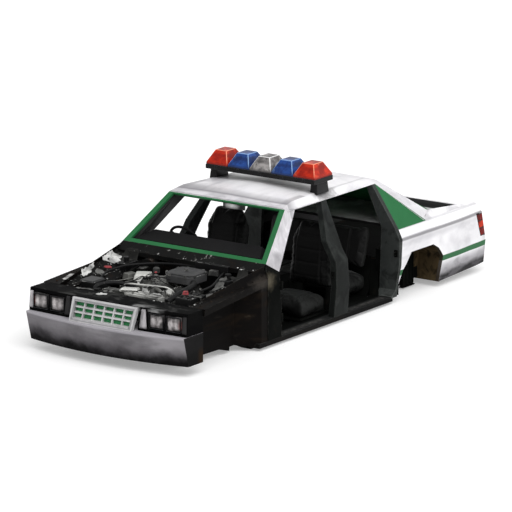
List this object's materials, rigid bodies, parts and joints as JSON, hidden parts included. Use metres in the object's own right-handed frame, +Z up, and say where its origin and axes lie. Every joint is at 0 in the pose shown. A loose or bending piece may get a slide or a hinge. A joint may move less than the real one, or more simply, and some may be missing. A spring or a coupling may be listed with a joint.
{
  "type": "stripped police patrol car hulk",
  "caption": "Burnt and stripped full-size patrol saloon hulk on its frame rails, with roof light bar, open doorways and engine bay and a turning steering wheel.",
  "frame": {"origin": "on the ground below the middle of the car's length and width, where the chassis rails rest", "axes": "+Z up, -Y towards the car's nose, +X towards the car's own left side"},
  "size_m": [1.89, 5.34, 1.53],
  "materials": {
    "body_white": "satin, sooty",
    "livery_green": "satin",
    "bumper_grey": "satin, sooty",
    "charred_steel": "burnt, matte",
    "rusty_steel": "rusty, matte",
    "frame_steel": "rusty, matte",
    "jamb_grey": "matte",
    "charred_plastic": "burnt, semi-gloss",
    "lamp_lens": "smoked lens",
    "tail_lens": "gloss",
    "grille_metal": "satin",
    "radiator_metal": "sooty",
    "engine_iron": "sooty",
    "engine_alloy": "sooty",
    "cabin_plastic": "matte",
    "mirror_face": "mirror",
    "seat_vinyl": "matte vinyl",
    "bar_black": "semi-gloss",
    "lens_red": "gloss",
    "lens_blue": "gloss",
    "lens_clear": "gloss"
  },
  "bodies": {
    "hulk": {"a_pillars": "body_white", "air_cleaner": "charred_steel", "b_pillars": "jamb_grey", "battery": "charred_plastic", "bay_shelves": "charred_steel", "beacon_clear": "lens_clear", "beacons_blue": "lens_blue", "beacons_red": "lens_red", "boot_floor": "charred_steel", "brake_servo": "charred_steel", "cowl": "charred_steel", "dashboard": "cabin_plastic", "engine": "engine_iron", "fan_shroud": "charred_plastic", "firewall": "charred_steel", "floor_pan": "charred_steel", "frame_rails": "frame_steel", "front_bumper": "bumper_grey", "front_seat_left": "seat_vinyl", "front_seat_right": "seat_vinyl", "front_subframe": "frame_steel", "fuse_box": "charred_plastic", "grille": "grille_metal", "grille_backing": "livery_green", "headlamps": "lamp_lens", "heater_box": "charred_plastic", "heel_board": "charred_steel", "hinge_posts": "charred_steel", "inner_wings": "charred_steel", "intake_manifold": "engine_alloy", "interior_mirror": "mirror_face", "light_bar_base": "bar_black", "nose_panel": "charred_plastic", "parcel_shelf": "jamb_grey", "quarter_panel_left": "body_white", "quarter_panel_right": "body_white", "radiator": "radiator_metal", "rear_bumper": "bumper_grey", "rear_jambs": "jamb_grey", "rear_seat_back": "seat_vinyl", "rear_seat_cushion": "seat_vinyl", "rear_subframe": "frame_steel", "reservoirs": "charred_plastic", "rocker_covers": "engine_alloy", "roof_panel": "body_white", "sills": "jamb_grey", "steering_column": "cabin_plastic", "tail_lamps": "tail_lens", "tail_panel": "body_white", "wheelhouses": "rusty_steel", "window_blanks": "livery_green", "windscreen_trim": "livery_green"},
    "steering": {"steering_wheel": "cabin_plastic"}
  },
  "joints": [
    {"name": "steering_turn", "type": "hinge", "parent": "hulk", "child": "steering", "pos_m": [-0.43, -0.666, 0.77], "axis": [0, 0.891, 0.454], "range_deg": [-540, 540]}
  ]
}
